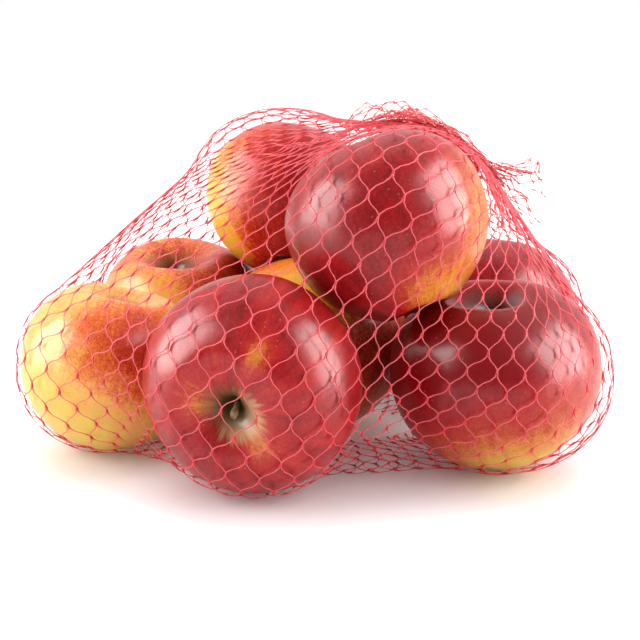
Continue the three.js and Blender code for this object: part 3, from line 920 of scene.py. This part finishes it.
def netPlastic(name, thread, knot, shine):
    # Polyethylene net: extruded through turning dies, so its strands are fused at the knots.
    # Thin strands let light through and look pale, and the thicker knots are deeper red.
    material, tree = newMaterial(name)
    near = addNode(tree, "ShaderNodeAttribute", {"attribute_name": "knot"}).outputs["Fac"]
    where = addNode(tree, "ShaderNodeTexCoord").outputs["Object"]
    uneven = addNode(tree, "ShaderNodeTexNoise", {"Scale": plastic["unevenScale"], "Detail": 2},
                     {"Vector": where})
    fine = addNode(tree, "ShaderNodeTexNoise", {"Scale": plastic["fineScale"], "Detail": 2}, {"Vector": where})
    shade = addNode(tree, "ShaderNodeMath", {"operation": "MULTIPLY_ADD", 1: 0.5},
                    {0: uneven.outputs["Fac"], 2: near})
    tone = addNode(tree, "ShaderNodeMapRange", {"From Min": plastic["tone"][0], "From Max": plastic["tone"][1]},
                   {"Value": shade.outputs[0]})
    colour = addNode(tree, "ShaderNodeMix", {"data_type": "RGBA", 6: paint(thread), 7: paint(knot)},
                     {0: tone.outputs[0]})
    spread = [shine + more for more in plastic["rubbed"]]
    rough = addNode(tree, "ShaderNodeMapRange", {"To Min": spread[0], "To Max": spread[1]},
                    {"Value": uneven.outputs["Fac"]})
    solid, through = [addNode(tree, "ShaderNodeMapRange", {"To Min": ends[0], "To Max": ends[1]},
                              {"Value": tone.outputs[0]}) for ends in (plastic["opaque"], plastic["glow"])]
    bump = addNode(tree, "ShaderNodeBump", {"Strength": 0.2, "Distance": 0.0001},
                   {"Height": fine.outputs["Fac"]})
    shader = addNode(tree, "ShaderNodeBsdfPrincipled", {"IOR": 1.51},
                     {"Base Color": colour.outputs[2], "Roughness": rough.outputs[0], "Alpha": solid.outputs[0],
                      "Normal": bump.outputs[0]})
    glow = addNode(tree, "ShaderNodeBsdfTranslucent", None, {"Color": colour.outputs[2]})
    mixed = addNode(tree, "ShaderNodeMixShader", None, {0: through.outputs[0], 1: shader.outputs[0],
                                                        2: glow.outputs[0]})
    return wear(material, mixed)


outerSet = netPlastic("extrudedPolyethyleneOuter", "#ff9ca6", "#e62c3c", 0.32)
innerSet = netPlastic("extrudedPolyethyleneInner", "#fa929e", "#de2838", 0.36)
crumpledSet = netPlastic("extrudedPolyethyleneCrumpled", "#ffbcb6", "#f0646a", 0.34)
strandSet("strandsFalling", 1, outerSet)
strandSet("strandsRising", -1, innerSet)

wisps = {"count": 7, "from": 0.08, "to": 0.50, "span": (0.20, 0.36), "height": (2.5, 7.5), "lean": 0.5,
         "wiggle": 0.8}
crumple = {"count": 46, "from": 0.22, "to": 0.70, "span": (0.14, 0.30), "height": (0.2, 3.6), "lean": 0.9,
           "wiggle": 0.7}


def wispLines(generator, wisps):
    # loose strands that stand up from the bunched net
    lines = []
    for k in range(wisps["count"]):
        s0 = generator.uniform(wisps["from"], wisps["to"])
        span = generator.uniform(*wisps["span"])
        height = generator.uniform(*wisps["height"])
        lean = generator.normal(0, wisps["lean"])
        points, sizes = [], []
        for step in range(26):
            t = step / 25
            at, along = ridgeAt(s0 + span * t)
            across = np.cross([0, 0, 1.0], along)
            rise = 1.6 + height * (4 * t * (1 - t)) ** 0.7
            wiggle = wisps["wiggle"] * math.sin(2 * math.pi * 2.6 * t + k)
            points.append(at + np.array([0, 0, rise + 0.6 * wiggle]) + across * (lean * rise + wiggle))
            knotty = step % 5 == 2
            sizes.append(strand["knotRadius"] * 0.9 if knotty else strand["radius"] * 0.9)
            if knotty:
                knotSpots.append(points[-1])
        lines.append((points, sizes))
    return lines


tail = {
    "lanes": 12,
    "turn": (-2.0, -78.0),  # the fan's edges, in degrees from the ridge's line outwards
    "length": 30.0,
    "rows": 7,
    "start": 2.2,
    "wave": 4.0,
    "torn": (0.06, 0.62),  # share of strands missing near the tie and at the frayed end
    "ragged": 1.5,
    "bend": 0.5,
    "places": (0, 0.15, 0.38, 0.62, 0.85, 1),
}


def tailLines(generator):
    # beyond the tie the net opens again into a few crumpled, torn rows of cells
    tie = ridgeAt(1.0)[0]
    rows, lanes = tail["rows"], tail["lanes"]
    spots = {}
    for i in range(rows + 1):
        for j in range(lanes + 1):
            lane = (j + 0.5 * (i % 2)) / lanes
            turn = math.radians(tail["turn"][0] + (tail["turn"][1] - tail["turn"][0]) * lane)
            reach = tail["start"] + (tail["length"] - tail["start"]) * (i / rows) ** 0.9
            reach *= 1 - 0.16 * math.cos(5 * lane) * i / rows
            opening = min(1, 0.25 + 1.1 * i / rows)
            middle = math.radians(sum(tail["turn"]) / 2)
            turn = middle + (turn - middle) * opening
            deep = tail["wave"] * math.sin(6.5 * lane + 0.8 * i) * (0.2 + i / rows)
            spot = tie + np.array([reach * math.cos(turn), deep, reach * math.sin(turn)])
            spots[i, j] = spot + generator.normal(0, tail["ragged"] * (0.3 + i / rows), 3)
    lines, reached = [], {(0, j) for j in range(lanes + 1)}
    for i in range(rows):
        torn = tail["torn"][0] + (tail["torn"][1] - tail["torn"][0]) * (i / rows) ** 1.3
        for j in range(lanes + 1):
            for hand in (0, 1):
                k = j + hand - (1 - i % 2)
                if (i, j) not in reached or (i + 1, k) not in spots or generator.uniform() < torn:
                    continue
                a, b = spots[i, j], spots[i + 1, k]
                reached.add((i + 1, k))
                way = (a - tie) / np.linalg.norm(a - tie)
                bend = generator.normal(0, tail["bend"], 3)
                points, sizes = [], []
                for t in tail["places"]:
                    s = t * t * (3 - 2 * t)
                    snake = way * 1.2 * math.sin(2 * math.pi * t) * 0.4
                    points.append(a + (b - a) * (0.55 * s + 0.45 * t) + snake + bend * 4 * t * (1 - t))
                    sizes.append(strand["knotRadius"] * 0.95 if t in (0, 1) else strand["radius"])
                lines.append((points, sizes))
                knotSpots.extend([a, b])
    return lines


knotSpots.clear()
generator = np.random.default_rng(3)
lines = wispLines(generator, wisps) + wispLines(generator, crumple)
netPiece("looseStrands", lines, crumpledSet)
knotSpots.clear()
generator = np.random.default_rng(9)
lines = tailLines(generator) + tailLines(generator)
netPiece("frayedTail", lines, crumpledSet)
print("net strands made")


# floor, light and camera
studio = {
    "floorSize": 12.0,
    "floorColour": "#f9f8f8",
    "floorLevel": -0.0002,
    "floorGlow": 0.07,  # the sheet is lit a little from below
    "softboxes": [
        # name, place in m, size in m, watts for matt light, watts as the wax shows it
        ("boxLeft", (-0.98, -0.14, 0.36), (0.95, 1.2), 8.0, 50),
        ("boxRight", (0.96, -0.22, 0.40), (0.95, 1.3), 11.5, 60),
        ("canopy", (0.0, 0.30, 1.1), (1.3, 0.9), 8, 0),
    ],
    "mattFurther": 1.06,  # the matt lamps hang behind the ones that the wax shows
    "aim": (0, 0, 0.05),
    "front": (0.24, 0.04),  # the room in front: how bright for matt light, and in the wax
    "back": 1.15,
    "top": 0.80,  # for matt light alone: the wax shows no white ceiling
}


def whiteFloor():
    bm = bmesh.new()
    bmesh.ops.create_grid(bm, x_segments=8, y_segments=8, size=studio["floorSize"])
    bmesh.ops.translate(bm, verts=bm.verts[:], vec=(0, 0, studio["floorLevel"]))
    mesh = meshOf(bm, "floor")
    material, tree = newMaterial("whiteAcrylicSheet")
    shader = addNode(tree, "ShaderNodeBsdfPrincipled",
                     {"Base Color": paint(studio["floorColour"]), "Roughness": 0.4, "IOR": 1.45,
                      "Specular IOR Level": 0.12, "Emission Color": (1, 1, 1, 1),
                      "Emission Strength": studio["floorGlow"]})
    mesh.materials.append(wear(material, shader))
    floor = bpy.data.objects.new("floor", mesh)
    scene.collection.objects.link(floor)


def softbox(name, place, size, watts, matt):
    light = bpy.data.lights.new(name, "AREA")
    light.shape = "RECTANGLE"
    light.size, light.size_y = size
    light.energy = watts
    lamp = bpy.data.objects.new(name, light)
    lamp.location = Vector(place) * (studio["mattFurther"] if matt else 1.0)
    lamp.rotation_euler = (Vector(studio["aim"]) - Vector(place)).to_track_quat("-Z", "Y").to_euler()
    lamp.visible_glossy = not matt
    lamp.visible_diffuse = matt
    scene.collection.objects.link(lamp)


def whiteRoom():
    world = bpy.data.worlds.new("whiteRoom")
    scene.world = world
    world.use_nodes = True
    tree = world.node_tree
    tree.nodes.clear()
    way = addNode(tree, "ShaderNodeTexCoord").outputs["Generated"]
    parts = addNode(tree, "ShaderNodeSeparateXYZ", None, {0: way})
    wax = addNode(tree, "ShaderNodeLightPath").outputs["Is Glossy Ray"]
    front = addNode(tree, "ShaderNodeMapRange", {"To Min": studio["front"][0], "To Max": studio["front"][1]},
                    {"Value": wax})
    back = addNode(tree, "ShaderNodeMapRange", {"From Min": -0.05, "From Max": 0.35, "To Max": studio["back"]},
                   {"Value": parts.outputs["Y"], "To Min": front.outputs[0]})
    matt = addNode(tree, "ShaderNodeMath", {"operation": "SUBTRACT", 0: 1.0}, {1: wax})
    top = addNode(tree, "ShaderNodeMapRange", {"From Min": 0.25, "From Max": 0.8, "To Max": studio["top"]},
                  {"Value": parts.outputs["Z"]})
    both = addNode(tree, "ShaderNodeMath", {"operation": "MULTIPLY_ADD"},
                   {0: top.outputs[0], 1: matt.outputs[0], 2: back.outputs[0]})
    light = addNode(tree, "ShaderNodeBackground", {"Color": (1, 1, 1, 1)}, {"Strength": both.outputs[0]})
    plain = addNode(tree, "ShaderNodeBackground", {"Color": (1, 1, 1, 1), "Strength": 1.0})
    seen = addNode(tree, "ShaderNodeLightPath").outputs["Is Camera Ray"]
    mix = addNode(tree, "ShaderNodeMixShader", None, {0: seen, 1: light.outputs[0], 2: plain.outputs[0]})
    addNode(tree, "ShaderNodeOutputWorld", None, {"Surface": mix.outputs[0]})


whiteFloor()
whiteRoom()
for name, place, size, mattWatts, glossWatts in studio["softboxes"]:
    softbox(name, place, size, mattWatts, True)
    if glossWatts:
        softbox(name + "InWax", place, size, glossWatts, False)

camera = {"place": (2.2, -496.0, 169.2), "pitch": 14.14, "focalPixels": 1262.5, "width": 640}
lens = bpy.data.cameras.new("camera")
lens.sensor_fit = "HORIZONTAL"
lens.sensor_width = 36
lens.lens = camera["focalPixels"] / camera["width"] * 36
eye = bpy.data.objects.new("camera", lens)
eye.location = Vector(camera["place"]) * mm
eye.rotation_euler = (math.radians(90 - camera["pitch"]), 0, 0)
scene.collection.objects.link(eye)
scene.camera = eye
print("studio ready")
